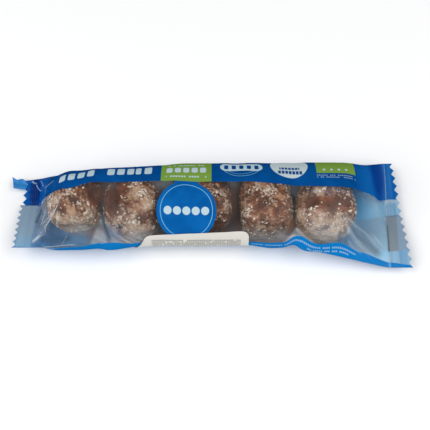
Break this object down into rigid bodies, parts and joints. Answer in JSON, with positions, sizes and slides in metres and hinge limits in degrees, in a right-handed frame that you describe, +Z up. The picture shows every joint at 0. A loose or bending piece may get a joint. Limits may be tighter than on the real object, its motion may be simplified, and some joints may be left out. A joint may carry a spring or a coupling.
{
  "type": "pack of energy balls",
  "caption": "Long clear flow-wrap pack with crimped toothed ends, a printed band and a paper label, lying on its back, filled with a row of coconut-flaked date balls.",
  "frame": {"origin": "on the table, at the bottom centre of the pack's bounding box", "axes": "+X along the pack towards its flat, wide seal; +Z up through the shown, windowed face; -Y the near long side, which carries the label"},
  "size_m": [0.185, 0.0546, 0.0288],
  "materials": {
    "printed_film": "glossy printed film, dark blue band, lighter blue back, green and off-white fields",
    "label_paper": "smooth off-white paper sticker with fine dark rows",
    "clear_film": "thin clear glossy film with creases",
    "date_paste": "rough, slightly moist brown date and cocoa paste",
    "coconut": "matte off-white desiccated coconut flakes"
  },
  "bodies": {
    "root": {"pack": "printed_film", "label": "label_paper"}
  },
  "joints": []
}
